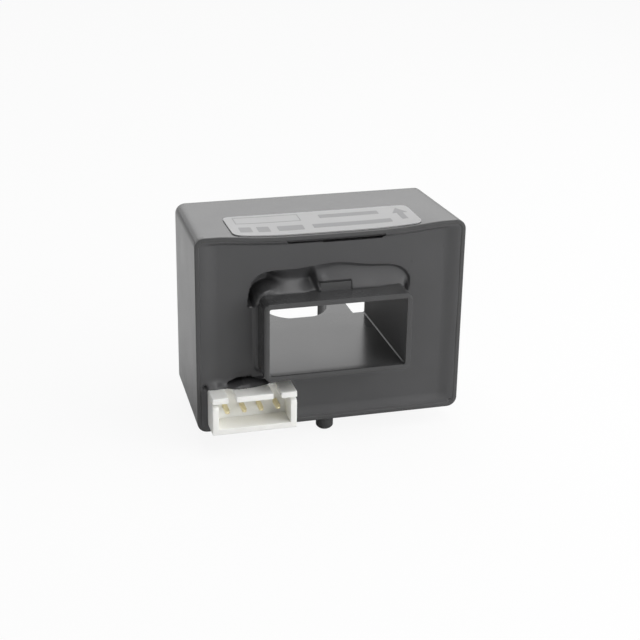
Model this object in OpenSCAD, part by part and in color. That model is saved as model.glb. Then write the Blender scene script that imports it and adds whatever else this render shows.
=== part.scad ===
// Open-window Hall-effect current sensor: a potted plastic case round a rectangular conductor window,
// with a four-way pin header, a locating peg under the case and a one-screw foot behind it.
// Millimetres. X is across the window, Y runs through it from front to back, Z is up.
// The origin is where the locating peg's axis meets the underside of the case.

/* [Case] */
// Width of the case at its front rim
case_w = 40; // [39.6:0.1:44]
// Height of the case at its front rim
case_h = 29.9; // [29.6:0.1:33]
// Depth of the case from its front rim to the edge of its rear skirt
case_d = 18.4; // [18.2:0.1:22]
// Thickness of the case's outer walls
wall = 1; // [0.8:0.05:1.2]
// Radius of the four edges that run along the depth
edge_r = 1.5; // [1.2:0.1:2.5]
// Draft: how much each side comes in from front to back
side_draft = 0.5; // [0.2:0.05:0.6]
// How much the top comes down from front to back
top_draft = 0.65; // [0.2:0.05:0.7]
// Flat land left on the front rim in front of the mouth's bevel
rim_land = 0.6; // [0.4:0.05:0.75]
// Thickness of the rear wall
rear_wall = 1.5; // [1.2:0.1:2]
// Depth of the recess behind the rear wall, inside the skirt
rear_recess = 1.55; // [1:0.05:2]
// Thickness of the skirt round the recess
skirt_t = 1.6; // [1.2:0.1:2.2]
// How far the top wall has sunk in the middle of its front edge, drawn in as the resin shrank
top_sag = 0.7; // [0.3:0.05:1]
// Depth over which the sunken top wall comes back to its true height
sag_length = 14; // [10:0.5:16]
// Half the width of the sunken stretch
sag_reach = 17; // [14:0.5:18]

/* [Conductor window] */
// Width of the window
window_w = 20.3; // [19.6:0.1:20.6]
// Height of the window
window_h = 10.3; // [9.6:0.1:10.6]
// Height of the window's middle over the underside
window_z = 14.8; // [14.5:0.1:15.2]
// Radius in the window's corners
window_r = 0.25; // [0.15:0.05:0.8]
// Thickness of the tube round the window, in front of its shoulder
tube_wall = 0.8; // [0.6:0.05:1]
// How much thicker the tube is behind its shoulder, where the circuit board seats
shoulder_step = 0.4; // [0.25:0.05:0.6]
// How far the tube stands out in front of the case's rim
tube_proud = 3.9; // [2:0.1:6]

/* [Core] */
// Thickness of the core's limbs
core_limb = 4.2; // [3.5:0.1:4.4]
// Length of the core through the window
core_length = 9; // [6:0.1:9.2]
// Clearance between the core and the tube
core_clear = 0.25; // [0.15:0.05:0.4]
// Radius of the core's outer corners
core_corner_r = 3; // [1:0.1:4]
// Width of the key that stands on the tube in the core's air gap
key_w = 4.6; // [3.6:0.1:5]
// Distance of the key from the window's middle
key_x = 0.4; // [-1:0.1:1]
// Height of the key over the tube's front part
key_rise = 1.15; // [0.8:0.05:1.3]
// How far the key stands out in front of the case's rim
key_proud = 0.5; // [0.1:0.05:1]
// Clearance on each side of the key
key_clear = 0.1; // [0.05:0.05:0.3]

/* [Hall element] */
// Thickness of the Hall element, across the air gap
hall_t = 1.55; // [1.2:0.05:2.5]
// Height of the Hall element
hall_h = 3.6; // [3.2:0.1:3.9]
// Depth of the Hall element
hall_d = 3; // [2:0.1:4]
// Bevel on the edges of the element's marked side
hall_bevel = 0.4; // [0.2:0.05:0.5]
// Side of each square lead
lead_side = 0.4; // [0.3:0.05:0.5]
// Distance between the leads
lead_pitch = 0.8; // [0.7:0.05:0.85]
// Number of leads
lead_count = 4; // [4]

/* [Circuit board] */
// Thickness of the board
board_t = 1.2; // [0.8:0.1:1.6]
// Gap between the board's edge and the walls at its sides
board_side_gap = 0.8; // [0.5:0.05:1.2]
// Gap between the board's lower edge and the case's floor
board_floor_gap = 0.6; // [0.3:0.05:0.9]
// Gap between the board's upper edge and the sunken top wall
board_top_gap = 0.5; // [0.3:0.05:0.9]
// Clearance between the board and the tube and key
board_clear = 0.1; // [0.05:0.05:0.15]
// How far leads stand through the board
lead_stub = 0.5; // [0.3:0.05:0.9]

/* [Parts on the board] */
// Width of the amplifier's body
chip_w = 3.9; // [3.5:0.1:4]
// Length of the amplifier's body
chip_l = 4.9; // [4.7:0.1:6]
// Height of the amplifier's body over the board
chip_h = 1.6; // [1.2:0.05:2]
// Width over the amplifier's leads
chip_span = 6; // [5.4:0.1:6.2]
// Distance between the amplifier's leads
chip_pitch = 1.27; // [1:0.01:1.27]
// Leads on each side of the amplifier
chip_leads = 4; // [4]
// Width of one amplifier lead
chip_lead_w = 0.4; // [0.3:0.05:0.5]
// Thickness of one amplifier lead
chip_lead_t = 0.2; // [0.15:0.05:0.3]
// Length of the foot at the end of each amplifier lead
chip_lead_foot = 0.5; // [0.4:0.05:0.6]
// Side of a trimmer's square base
trimmer_side = 3.8; // [3:0.1:4.2]
// Height of a trimmer's base
trimmer_h = 1.3; // [1:0.1:1.6]
// Diameter of a trimmer's rotor
rotor_d = 2.8; // [2:0.1:2.9]
// Height of a trimmer's rotor over its base
rotor_h = 0.5; // [0.3:0.05:0.7]
// Width of the screwdriver slot in a rotor
rotor_slot_w = 0.5; // [0.3:0.05:0.7]
// Depth of the screwdriver slot in a rotor
rotor_slot_d = 0.3; // [0.2:0.05:0.3]
// Distance of each trimmer from the amplifier, above it and below it
trimmer_gap = 1; // [0.6:0.1:1.4]
// Length of a chip capacitor
capacitor_l = 2; // [1.6:0.1:2]
// Width of a chip capacitor
capacitor_w = 1.25; // [0.8:0.05:1.3]
// Height of a chip capacitor
capacitor_h = 1; // [0.6:0.05:1.3]
// Number of chip capacitors
capacitor_count = 3; // [1:1:3]
// Length of a chip resistor
resistor_l = 1.6; // [1:0.1:1.6]
// Width of a chip resistor
resistor_w = 0.8; // [0.5:0.05:0.9]
// Height of a chip resistor
resistor_h = 0.5; // [0.3:0.05:0.6]
// Number of chip resistors
resistor_count = 3; // [1:1:3]
// Distance between the middles of neighbouring chips
chip_step = 3; // [2.6:0.1:3.2]
// Clearance between parts on the board and the tube and header
part_gap = 0.5; // [0.3:0.05:0.55]

/* [Header] */
// Number of pins
pin_count = 4; // [2:1:4]
// Distance between pins
pin_pitch = 2.5; // [2:0.01:2.54]
// Side of a square pin
pin_side = 0.64; // [0.5:0.02:0.7]
// Length of the tapered tip of a pin
pin_tip = 0.5; // [0.3:0.05:0.8]
// Side of a pin at the end of its tip
pin_tip_side = 0.3; // [0.2:0.02:0.4]
// How far the pins stop short of the housing's mouth
pin_recess = 1; // [0.8:0.05:1.6]
// How far the pins stand through the board
pin_tail = 0.75; // [0.4:0.05:1]
// Distance from the end pins to the ends of the housing
header_end = 2.45; // [2:0.05:2.5]
// Height of the housing, across its row of pins
header_h = 5.75; // [5:0.05:5.9]
// Length of the housing from the board to its mouth
header_l = 7; // [6.6:0.1:7.2]
// How far the housing stands out of the case's rim
header_proud = 3.75; // [3.4:0.05:4]
// Thickness of the housing's walls
header_wall = 0.9; // [0.6:0.05:1]
// Depth of the housing's mouth
mouth_d = 3.6; // [3.4:0.05:3.85]
// Width of the two slots in the housing's upper wall
slot_w = 1.2; // [0.8:0.05:1.4]
// Distance from the housing's ends to the slots
slot_inset = 2.3; // [1.8:0.05:2.5]
// Length of the slots
slot_l = 3.5; // [2.5:0.05:3.6]
// Height of the notch in each end wall, under the upper wall
notch_h = 0.35; // [0.2:0.05:0.6]
// Length of the notch in each end wall
notch_l = 1.6; // [1:0.1:3]
// Radius of each end wall's upper front corner
end_r = 0.7; // [0.3:0.05:1]
// Gap between the housing's lower edge and the case's round inner corner
header_gap = 0.35; // [0.1:0.05:0.6]
// Height of the housing over the case's floor
header_rise = 0.2; // [0.15:0.05:0.4]

/* [Resin] */
// Depth of the resin's face behind the case's rim
resin_recess = 0.15; // [0.05:0.05:0.2]
// Width of the fillet of resin that climbs the tube
meniscus_w = 1.2; // [0.6:0.1:1.5]
// How far that fillet climbs the tube in front of the resin's face
meniscus_h = 1.1; // [0.4:0.1:1.6]
// Thickness of the fillet at its front edge
meniscus_edge = 0.15; // [0.1:0.05:0.3]

/* [Label] */
// Width of the label
label_w = 27.9; // [20:0.1:30]
// Depth of the label, from front to back
label_d = 8.5; // [6:0.1:11]
// Distance of the label's front edge behind the rim
label_setback = 0.55; // [0.3:0.05:2]
// Distance of the label's middle from the case's middle
label_x = -0.35; // [-1:0.05:1]
// Radius of the label's corners
label_r = 1.2; // [0.5:0.1:2.5]
// Thickness of the label
label_t = 0.15; // [0.1:0.01:0.2]

/* [Mounting] */
// Diameter of the locating peg
peg_d = 2.6; // [2:0.05:3.2]
// Length of the locating peg under the case
peg_l = 2.7; // [2:0.1:5]
// Bevel on the end of the peg
peg_bevel = 0.4; // [0.2:0.05:0.6]
// Distance of the peg's axis behind the case's front rim
peg_setback = 3; // [2:0.1:6]
// Width of the foot behind the case
foot_w = 16.6; // [14.6:0.1:18]
// How far the foot stands out behind the rear wall
foot_l = 7.2; // [6:0.1:12]
// Thickness of the foot's plate under the screw's head
foot_plate = 3; // [2:0.1:4]
// Diameter of the space for the screw's head and washer
head_d = 10.1; // [9:0.1:11]
// How far that space cuts into the rear wall
head_bite = 0.3; // [0.1:0.05:0.6]
// Width of the open slot for the screw
screw_slot = 4.5; // [3.5:0.1:5.5]

/* [Hidden] */
$fn = 64;
// Segments of the rounded corners in the drafted forms
corner_fn = 32;
// Overlap that makes a cut pass its face, and the thickness of a form's end slice
cut = 1;
slice = 0.01;
// Steps of the sunken top across the case and along its depth
sag_steps_x = 32;
sag_steps_d = 10;
// Height at which the sunken surface passes over the true top, so that the two cross cleanly
sag_lift = 0.02;

// Depths behind the front rim
rear_face = case_d - rear_recess;
cavity_end = rear_face - rear_wall;
board_face = header_l - header_proud;
board_back = board_face + board_t;
core_face = cavity_end - core_length;
hall_middle = (core_face + cavity_end) / 2;
screw_at = rear_face - head_bite + head_d / 2;

// Heights over the underside
tube_top = window_z + window_h / 2 + tube_wall;
key_top = tube_top + key_rise;
hall_z = key_top + hall_h / 2;
board_z0 = wall + board_floor_gap;
board_z1 = case_h - wall - top_sag - board_top_gap;
header_z = wall + header_rise + header_h / 2;
foot_h = window_z - window_h / 2;

// Places across the case
board_w = case_w - 2 * (wall + board_side_gap);
header_w = 2 * header_end + (pin_count - 1) * pin_pitch;
header_in = wall + corner_in(inner_r(wall), header_rise) + side_draft * board_face / case_d;
header_x = -case_w / 2 + header_in + header_gap + header_w / 2;
chip_x = (window_w / 2 + tube_wall + board_w / 2) / 2;
trimmer_at = chip_span / 2 + trimmer_gap + trimmer_side / 2;
chips_x = header_x + header_w / 2 + part_gap + capacitor_l / 2;
chips_z = window_z - window_h / 2 - tube_wall - part_gap - capacitor_w / 2;
resistors_z = chips_z - capacitor_w / 2 - part_gap - resistor_w / 2;

// Radius of the case's long edges, drawn in by an inset
function inner_r(inset) = max(edge_r - inset, 0.5);
// How far a round inner corner stands in from the wall, at a height over the floor
function corner_in(r, h) = h < r ? r - sqrt(2 * r * h - h * h) : 0;

// How much lower the top lies at a place across the case and along its depth
function sag_across(x) = abs(x) < sag_reach ? pow(1 - pow(x / sag_reach, 4), 2) : 0;
function sag_along(d) = d < sag_length ? pow(1 - max(d, 0) / sag_length, 2) : 0;
function top_height(x, d) = case_h - top_draft * d / case_d - top_sag * sag_across(x) * sag_along(d);

// A rectangle with round corners, in the plane across the window
module round_rect(w, h, r) {
    square([w - 2 * r, h], center = true);
    square([w, h - 2 * r], center = true);
    for (x = [-1, 1], z = [-1, 1]) translate([x * (w / 2 - r), z * (h / 2 - r)]) circle(r);
}

// A shape drawn across the window, carried from one depth to another behind the front rim
module through(from, to) {
    translate([0, to - peg_setback, 0]) rotate([90, 0, 0]) linear_extrude(to - from) children();
}

// The same, with its middle at the window's height
module round_window(from, to) {
    translate([0, 0, window_z]) through(from, to) children();
}

// A box given by its limits across, along the depth and in height
module block(x, d, z) {
    translate([x[0], d[0] - peg_setback, z[0]]) cube([x[1] - x[0], d[1] - d[0], z[1] - z[0]]);
}

// The case's outline at one depth, drawn in by an inset all round
module case_outline(d, inset) {
    w = case_w - 2 * side_draft * d / case_d - 2 * inset;
    h = case_h - top_draft * d / case_d - 2 * inset;
    translate([0, inset + h / 2]) round_rect(w, h, inner_r(inset), $fn = corner_fn);
}

// A drafted form between two depths, with an inset at each end
module drafted(from, to, inset_from, inset_to) {
    hull() {
        through(from, from + slice) case_outline(from, inset_from);
        through(to - slice, to) case_outline(to, inset_to);
    }
}

// All the space over the sunken top: a net of points at the top's height, closed by four points over it
module over_top() {
    xs = [for (i = [0:sag_steps_x]) (i / sag_steps_x - 0.5) * (case_w + 2 * cut)];
    ds = concat([-tube_proud], [for (j = [0:sag_steps_d]) sag_length * j / sag_steps_d], [case_d + cut]);
    n = len(ds);
    far = (len(xs) - 1) * n;
    up = len(xs) * n;
    lower = [for (x = xs, d = ds) [x, d - peg_setback, top_height(x, d) + sag_lift]];
    upper = [for (i = [0, far], j = [0, n - 1]) [lower[i + j][0], lower[i + j][1], case_h + cut]];
    cells = [for (i = [0:len(xs) - 2], j = [0:n - 2]) i * n + j];
    polyhedron(concat(lower, upper), concat(
        [for (c = cells) [c, c + n, c + n + 1]],
        [for (c = cells) [c, c + n + 1, c + 1]],
        [[up, up + 1, up + 3, up + 2]],
        [concat([for (j = [0:n - 1]) j], [up + 1, up])],
        [concat([up + 2, up + 3], [for (j = [n - 1:-1:0]) far + j])],
        [concat([up, up + 2], [for (i = [far:-n:0]) i])],
        [concat([for (i = [0:n:far]) i + n - 1], [up + 3, up + 1])]));
}

// The case's outer form, with nothing cut out of it
module case_form() {
    difference() {
        drafted(0, case_d, 0, 0);
        over_top();
    }
}

// The space that the resin fills, with the bevelled mouth
module cavity() {
    difference() {
        union() {
            drafted(-cut, cavity_end, wall, wall);
            drafted(-slice, wall - rim_land, rim_land, wall);
        }
        translate([0, 0, -wall]) over_top();
    }
}

// The tube round the window, without the window, and the key on top of it
module tube_form() {
    size = [window_w + 2 * tube_wall, window_h + 2 * tube_wall];
    step = 2 * shoulder_step;
    round_window(-tube_proud, cavity_end + slice) round_rect(size[0], size[1], window_r + tube_wall);
    round_window(board_back, cavity_end + slice)
        round_rect(size[0] + step, size[1] + step, window_r + tube_wall + shoulder_step);
    block([key_x - key_w / 2, key_x + key_w / 2], [-key_proud, cavity_end + slice], [window_z, key_top]);
}

// The foot with its open slot for one screw
module foot() {
    end = rear_face + foot_l;
    difference() {
        block([-foot_w / 2, foot_w / 2], [rear_face - rear_wall / 2, end], [0, foot_h]);
        screw_space(head_d, foot_plate);
        screw_space(screw_slot, -cut);
        block([-screw_slot / 2, screw_slot / 2], [screw_at, end + cut], [-cut, foot_h + cut]);
    }
}

// An upright round space on the screw's axis, open above
module screw_space(w, z) {
    translate([0, screw_at - peg_setback, z]) cylinder(d = w, h = foot_h + cut - z);
}

// The peg that places the sensor in its panel
module peg() {
    straight = peg_l - peg_bevel;
    translate([0, 0, -straight]) cylinder(d = peg_d, h = straight + wall / 2);
    translate([0, 0, -peg_l]) cylinder(d1 = peg_d - 2 * peg_bevel, d2 = peg_d, h = peg_bevel);
}

module case() {
    skirt_w = case_w - 2 * side_draft - 2 * skirt_t;
    skirt_h = case_h - top_draft - 2 * skirt_t;
    color([0.16, 0.16, 0.16]) difference() {
        union() {
            difference() {
                case_form();
                cavity();
                translate([0, 0, skirt_t + skirt_h / 2]) through(rear_face, case_d + cut)
                    round_rect(skirt_w, skirt_h, edge_r);
            }
            tube_form();
            foot();
            peg();
        }
        round_window(-tube_proud - cut, rear_face + cut) round_rect(window_w, window_h, window_r);
    }
}

// The fillet of resin round the tube, with the tube's space still filled
module meniscus() {
    size = [window_w + 2 * tube_wall, window_h + 2 * tube_wall];
    front = resin_recess - meniscus_h;
    hull() {
        round_window(front, front + slice) round_rect(size[0] + 2 * meniscus_edge,
            size[1] + 2 * meniscus_edge, window_r + tube_wall + meniscus_edge, $fn = corner_fn);
        round_window(resin_recess, resin_recess + slice) round_rect(size[0] + 2 * meniscus_w,
            size[1] + 2 * meniscus_w, window_r + tube_wall + meniscus_w, $fn = corner_fn);
    }
}

module potting_resin() {
    color([0.1, 0.1, 0.1]) difference() {
        union() {
            difference() {
                cavity();
                block([-case_w, case_w], [-2 * cut, resin_recess], [-cut, case_h + cut]);
            }
            meniscus();
        }
        tube_form();
        core();
        hall_element();
        hall_leads();
        circuit_board_blank();
        amplifier();
        amplifier_leads();
        gain_trimmer();
        offset_trimmer();
        capacitors();
        resistors();
        header_form();
        for (i = [1:pin_count]) pin(i);
    }
}

module label() {
    color([0.78, 0.78, 0.78]) difference() {
        translate([label_x, label_setback + label_d / 2 - peg_setback, case_h - top_sag - top_draft])
            linear_extrude(top_sag + top_draft + cut / 2) round_rect(label_w, label_d, label_r);
        translate([0, 0, label_t]) over_top();
        case_form();
    }
}

module core() {
    inner_w = window_w + 2 * (tube_wall + shoulder_step + core_clear);
    inner_h = window_h + 2 * (tube_wall + shoulder_step + core_clear);
    gap = key_w / 2 + key_clear;
    color([0.55, 0.55, 0.57]) difference() {
        round_window(core_face, cavity_end)
            round_rect(inner_w + 2 * core_limb, inner_h + 2 * core_limb, core_corner_r);
        round_window(core_face - cut, cavity_end + cut)
            round_rect(inner_w, inner_h, window_r + tube_wall + shoulder_step + core_clear);
        block([key_x - gap, key_x + gap], [core_face - cut, cavity_end + cut], [window_z, case_h]);
    }
}

module hall_element() {
    front = hall_middle - hall_d / 2 - peg_setback;
    color([0.12, 0.12, 0.12]) translate([key_x, front, key_top]) linear_extrude(hall_h) polygon([
        [-hall_t / 2, 0], [hall_t / 2 - hall_bevel, 0], [hall_t / 2, hall_bevel],
        [hall_t / 2, hall_d - hall_bevel], [hall_t / 2 - hall_bevel, hall_d], [-hall_t / 2, hall_d]]);
}

module hall_leads() {
    half = lead_side / 2;
    color([0.8, 0.8, 0.8]) for (i = [0:lead_count - 1]) {
        z = hall_z + (i - (lead_count - 1) / 2) * lead_pitch;
        block([key_x - half, key_x + half], [board_face - lead_stub, hall_middle - hall_d / 2],
            [z - half, z + half]);
    }
}

// The board before its holes for leads and pins are made
module circuit_board_blank() {
    difference() {
        block([-board_w / 2, board_w / 2], [board_face, board_back], [board_z0, board_z1]);
        round_window(board_face - cut, board_back + cut) round_rect(
            window_w + 2 * (tube_wall + board_clear), window_h + 2 * (tube_wall + board_clear),
            window_r + tube_wall + board_clear);
        block([key_x - key_w / 2 - board_clear, key_x + key_w / 2 + board_clear],
            [board_face - cut, board_back + cut], [window_z, key_top + board_clear]);
    }
}

module circuit_board() {
    color([0.1, 0.35, 0.2]) difference() {
        circuit_board_blank();
        hall_leads();
        for (i = [1:pin_count]) pin(i);
    }
}

module amplifier() {
    color([0.12, 0.12, 0.12])
        block([chip_x - chip_l / 2, chip_x + chip_l / 2], [board_face - chip_h, board_face - chip_lead_t],
            [window_z - chip_w / 2, window_z + chip_w / 2]);
}

// Each lead leaves the body's upper or lower side, turns to the board and ends in a flat foot
module amplifier_leads() {
    knee = chip_span / 2 - chip_lead_foot;
    half = chip_h / 2;
    color([0.8, 0.8, 0.8]) for (side = [0, 1], i = [0:chip_leads - 1]) {
        x = chip_x + (i - (chip_leads - 1) / 2) * chip_pitch;
        translate([x + chip_lead_w / 2, board_face - peg_setback, window_z])
            mirror([0, 0, side]) rotate([0, -90, 0]) linear_extrude(chip_lead_w) polygon([
                [chip_w / 2, -half], [knee + chip_lead_t, -half], [knee + chip_lead_t, -chip_lead_t],
                [chip_span / 2, -chip_lead_t], [chip_span / 2, 0], [knee, 0],
                [knee, chip_lead_t - half], [chip_w / 2, chip_lead_t - half]]);
    }
}

// A trimmer with its slotted rotor towards the front
module trimmer(z) {
    half = trimmer_side / 2;
    front = board_face - trimmer_h;
    block([chip_x - half, chip_x + half], [front, board_face], [z - half, z + half]);
    difference() {
        translate([chip_x, front - peg_setback, z]) rotate([90, 0, 0]) cylinder(d = rotor_d, h = rotor_h);
        block([chip_x - half, chip_x + half], [front - rotor_h - cut, front - rotor_h + rotor_slot_d],
            [z - rotor_slot_w / 2, z + rotor_slot_w / 2]);
    }
}

module gain_trimmer() {
    color([0.2, 0.35, 0.6]) trimmer(window_z + trimmer_at);
}

module offset_trimmer() {
    color([0.2, 0.35, 0.6]) trimmer(window_z - trimmer_at);
}

// A row of chips on the board's front, to the right of the header
module chip_row(count, l, w, h, z) {
    for (i = [0:count - 1])
        translate([chips_x + i * chip_step, 0, 0])
            block([-l / 2, l / 2], [board_face - h, board_face], [z - w / 2, z + w / 2]);
}

module capacitors() {
    color([0.6, 0.5, 0.38]) chip_row(capacitor_count, capacitor_l, capacitor_w, capacitor_h, chips_z);
}

module resistors() {
    color([0.15, 0.15, 0.16]) chip_row(resistor_count, resistor_l, resistor_w, resistor_h, resistors_z);
}

// The header's outer form
module header_form() {
    block([header_x - header_w / 2, header_x + header_w / 2], [-header_proud, board_face],
        [header_z - header_h / 2, header_z + header_h / 2]);
}

module header_housing() {
    x0 = header_x - header_w / 2;
    x1 = header_x + header_w / 2;
    top = header_z + header_h / 2;
    roof = top - header_wall;
    color([0.93, 0.92, 0.88]) difference() {
        header_form();
        block([x0 + header_wall, x1 - header_wall], [-header_proud - cut, mouth_d - header_proud],
            [header_z - header_h / 2 + header_wall, roof]);
        for (x = [x0 + slot_inset, x1 - slot_inset - slot_w])
            block([x, x + slot_w], [-header_proud - cut, slot_l - header_proud], [roof - cut, top + cut]);
        block([x0 - cut, x1 + cut], [-header_proud - cut, notch_l - header_proud], [roof - notch_h, roof]);
        end_corners([x0 - cut, x1 + cut], roof - notch_h);
        for (i = [1:pin_count]) pin(i);
    }
}

// What the end walls' round upper front corners leave out
module end_corners(x, top) {
    difference() {
        block(x, [-header_proud - cut, end_r - header_proud], [top - end_r, top]);
        translate([x[0] - cut, end_r - header_proud - peg_setback, top - end_r])
            rotate([0, 90, 0]) cylinder(r = end_r, h = x[1] - x[0] + 2 * cut);
    }
}

// A square pin with a tapered tip towards the front
module pin(i) {
    half = pin_side / 2;
    x = header_x + (i - (pin_count + 1) / 2) * pin_pitch;
    tip = pin_recess - header_proud;
    block([x - half, x + half], [tip + pin_tip, board_back + pin_tail], [header_z - half, header_z + half]);
    translate([x, tip + pin_tip - peg_setback, header_z]) rotate([90, 0, 0]) rotate([0, 0, 45])
        cylinder(d1 = pin_side * sqrt(2), d2 = pin_tip_side * sqrt(2), h = pin_tip, $fn = 4);
}

module header_pin(i) {
    color([0.8, 0.65, 0.3]) if (i <= pin_count) pin(i);
}

case();
potting_resin();
label();
core();
hall_element();
hall_leads();
circuit_board();
amplifier();
amplifier_leads();
gain_trimmer();
offset_trimmer();
capacitors();
resistors();
header_housing();
header_pin(1);  // header_pin_1
header_pin(2);  // header_pin_2
header_pin(3);  // header_pin_3
header_pin(4);  // header_pin_4
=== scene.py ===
"""Looks of a potted, open-window current sensor: moulded black case, cast resin, white pin header
and silver label. Lengths are millimetres until a piece is finished; depth counts from the case's
front rim towards the back."""
import math
import bmesh
import bpy
import numpy as np
from mathutils import Matrix, Vector


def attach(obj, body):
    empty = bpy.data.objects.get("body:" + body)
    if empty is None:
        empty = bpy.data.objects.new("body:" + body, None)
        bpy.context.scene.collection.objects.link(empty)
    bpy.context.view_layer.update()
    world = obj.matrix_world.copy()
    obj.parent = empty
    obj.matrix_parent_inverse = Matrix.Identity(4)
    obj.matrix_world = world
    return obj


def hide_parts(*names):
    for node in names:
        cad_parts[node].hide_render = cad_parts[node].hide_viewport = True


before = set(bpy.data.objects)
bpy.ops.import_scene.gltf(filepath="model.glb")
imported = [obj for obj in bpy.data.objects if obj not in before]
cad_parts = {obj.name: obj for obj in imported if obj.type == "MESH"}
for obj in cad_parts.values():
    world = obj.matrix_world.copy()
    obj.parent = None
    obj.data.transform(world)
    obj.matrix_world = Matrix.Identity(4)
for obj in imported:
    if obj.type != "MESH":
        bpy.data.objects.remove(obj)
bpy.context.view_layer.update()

MM = 0.001
RIM_Y = -3.0            # the front rim lies this far in front of the frame's origin

# Case, as in the part's source
CASE_W, CASE_H, CASE_D = 40.0, 29.9, 18.4
WALL, EDGE_R, SIDE_DRAFT, TOP_DRAFT = 1.0, 1.5, 0.5, 0.65
RIM_LAND, REAR_WALL, REAR_RECESS, SKIRT_T = 0.6, 1.5, 1.55, 1.6
TOP_SAG, SAG_LENGTH, SAG_REACH = 0.7, 14.0, 17.0
WINDOW_W, WINDOW_H, WINDOW_Z, WINDOW_R = 20.3, 10.3, 14.8, 0.25
TUBE_WALL, SHOULDER, TUBE_PROUD, SHOULDER_AT = 0.8, 0.4, 3.9, 4.45
KEY_X, KEY_W, KEY_PROUD, KEY_TOP = 0.4, 4.6, 0.5, 21.9
PEG_D, PEG_L, PEG_BEVEL = 2.6, 2.7, 0.4
FOOT_W, FOOT_L, FOOT_PLATE, HEAD_D, HEAD_BITE, SCREW_SLOT = 16.6, 7.2, 3.0, 10.1, 0.3, 4.5
REAR_FACE = CASE_D - REAR_RECESS
CAVITY_END = REAR_FACE - REAR_WALL
SCREW_AT = REAR_FACE - HEAD_BITE + HEAD_D / 2
WINDOW_FLOOR, WINDOW_ROOF = WINDOW_Z - WINDOW_H / 2, WINDOW_Z + WINDOW_H / 2
TUBE_X, TUBE_TOP = WINDOW_W / 2 + TUBE_WALL, WINDOW_ROOF + TUBE_WALL

# Header, resin and label
HEADER_X0, HEADER_X1, HEADER_Z0, HEADER_Z1 = -18.46, -6.06, 1.2, 6.95
RESIN_FACE = 0.5        # depth of the resin's flat face, away from the walls
LABEL_W, LABEL_D, LABEL_AT, LABEL_X, LABEL_R, LABEL_T = 27.9, 8.5, 0.55, -0.35, 1.2, 0.15
PINS = 4

CORNER_STEPS = 8        # segments of a round corner
LEAST_R = 0.5           # least radius of the case's corners where its outline is drawn in
SIDE_CUTS = (48, 4)     # divisions of a loop's long and short sides
STRAIGHT = 2            # edges longer than this are straight sides, and not segments of a corner
TURN_STEPS = 80         # segments of a full turn in the foot; the slender peg has fewer
PEG_STEPS = 48
MERGE = 1e-4            # vertices closer than this are one
NEAR = 0.01             # a vertex this close lies on a plane
OVERLAP = 0.05          # resin and foot run this far into the case's walls
FOOT_DROP = 0.005       # the foot's top lies this far under the window's floor

# Widths of the rounded edges, and how far the key's end leans back
RIM_SOFT, MOUTH_SOFT, SKIRT_SOFT = 0.14, 0.12, 0.3
TUBE_SOFT, SILL_SOFT, TUBE_LEFT_SOFT = 0.1, 0.22, 0.42
KEY_SOFT, PEG_SOFT, FOOT_SOFT, HEADER_SOFT, PIN_SOFT = 0.06, 0.12, 0.12, 0.08, 0.1
KEY_LEAN = 0.3


# Mesh tools

def round_loop(bm, width, height, radius, middle, depth, cuts=SIDE_CUTS):
    """A loop of edges across the window: a rectangle with round corners and finely divided sides."""
    before = set(bm.edges)
    place = Matrix.Translation((0, depth, middle)) @ Matrix.Rotation(math.pi / 2, 4, "X")
    quad = bmesh.ops.create_grid(bm, x_segments=1, y_segments=1, size=0.5,
                                 matrix=place @ Matrix.Diagonal((width, height, 1, 1)))["verts"]
    bmesh.ops.bevel(bm, geom=quad, offset=radius, offset_type="OFFSET", segments=CORNER_STEPS,
                    profile=0.5, affect="VERTICES", clamp_overlap=False, material=-1)
    loop = [e for e in bm.edges if e not in before]
    bmesh.ops.delete(bm, geom=list(loop[0].link_faces), context="FACES_ONLY")
    for axis, cut in ((0, cuts[0]), (2, cuts[1])):
        sides = [e for e in loop if e.is_valid and abs(e.verts[0].co[axis] - e.verts[1].co[axis]) > STRAIGHT]
        bmesh.ops.subdivide_edges(bm, edges=sides, cuts=cut)
    return [e for e in bm.edges if e not in before]


def case_loop(bm, depth, inset, cuts=SIDE_CUTS):
    """The case's drafted outline at one depth, drawn in by an inset."""
    width = CASE_W - 2 * SIDE_DRAFT * max(depth, 0) / CASE_D - 2 * inset
    height = CASE_H - TOP_DRAFT * max(depth, 0) / CASE_D - 2 * inset
    radius = max(EDGE_R - inset, LEAST_R)
    return round_loop(bm, width, height, radius, inset + height / 2, depth, cuts)


def window_loop(bm, depth, grow, cuts=SIDE_CUTS):
    """The window's outline at one depth, grown by the tube's wall or more."""
    width, height = WINDOW_W + 2 * grow, WINDOW_H + 2 * grow
    return round_loop(bm, width, height, WINDOW_R + grow, WINDOW_Z, depth, cuts)


def bridged(bm, a, b):
    """Joins two loops with faces; one is held apart meanwhile, so that loops in one plane pair up too."""
    held, apart = list({v for e in b for v in e.verts}), Vector((0, 50, 0))
    bmesh.ops.translate(bm, verts=held, vec=apart)
    bmesh.ops.bridge_loops(bm, edges=a + b)
    bmesh.ops.translate(bm, verts=held, vec=-apart)


def sag(x, depth):
    """How far the top wall has sunk at a place."""
    across = np.where(np.abs(x) < SAG_REACH, (1 - (x / SAG_REACH) ** 4) ** 2, 0)
    inward = np.where(depth < SAG_LENGTH, (1 - np.maximum(depth, 0) / SAG_LENGTH) ** 2, 0)
    return TOP_SAG * across * inward


def top_height(x, depth):
    return CASE_H - TOP_DRAFT * depth / CASE_D - sag(x, depth)


def soften(bm, edges, width, segments=2):
    """Rounds those of the given edges that are still there."""
    bmesh.ops.bevel(bm, geom=[e for e in edges if e.is_valid], offset=width, offset_type="OFFSET",
                    segments=segments, profile=0.5, affect="EDGES", clamp_overlap=True, material=-1)


def sharp_edges(bm, degrees=30):
    return [e for e in bm.edges if e.is_manifold and e.calc_face_angle(0) > math.radians(degrees)]


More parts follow.
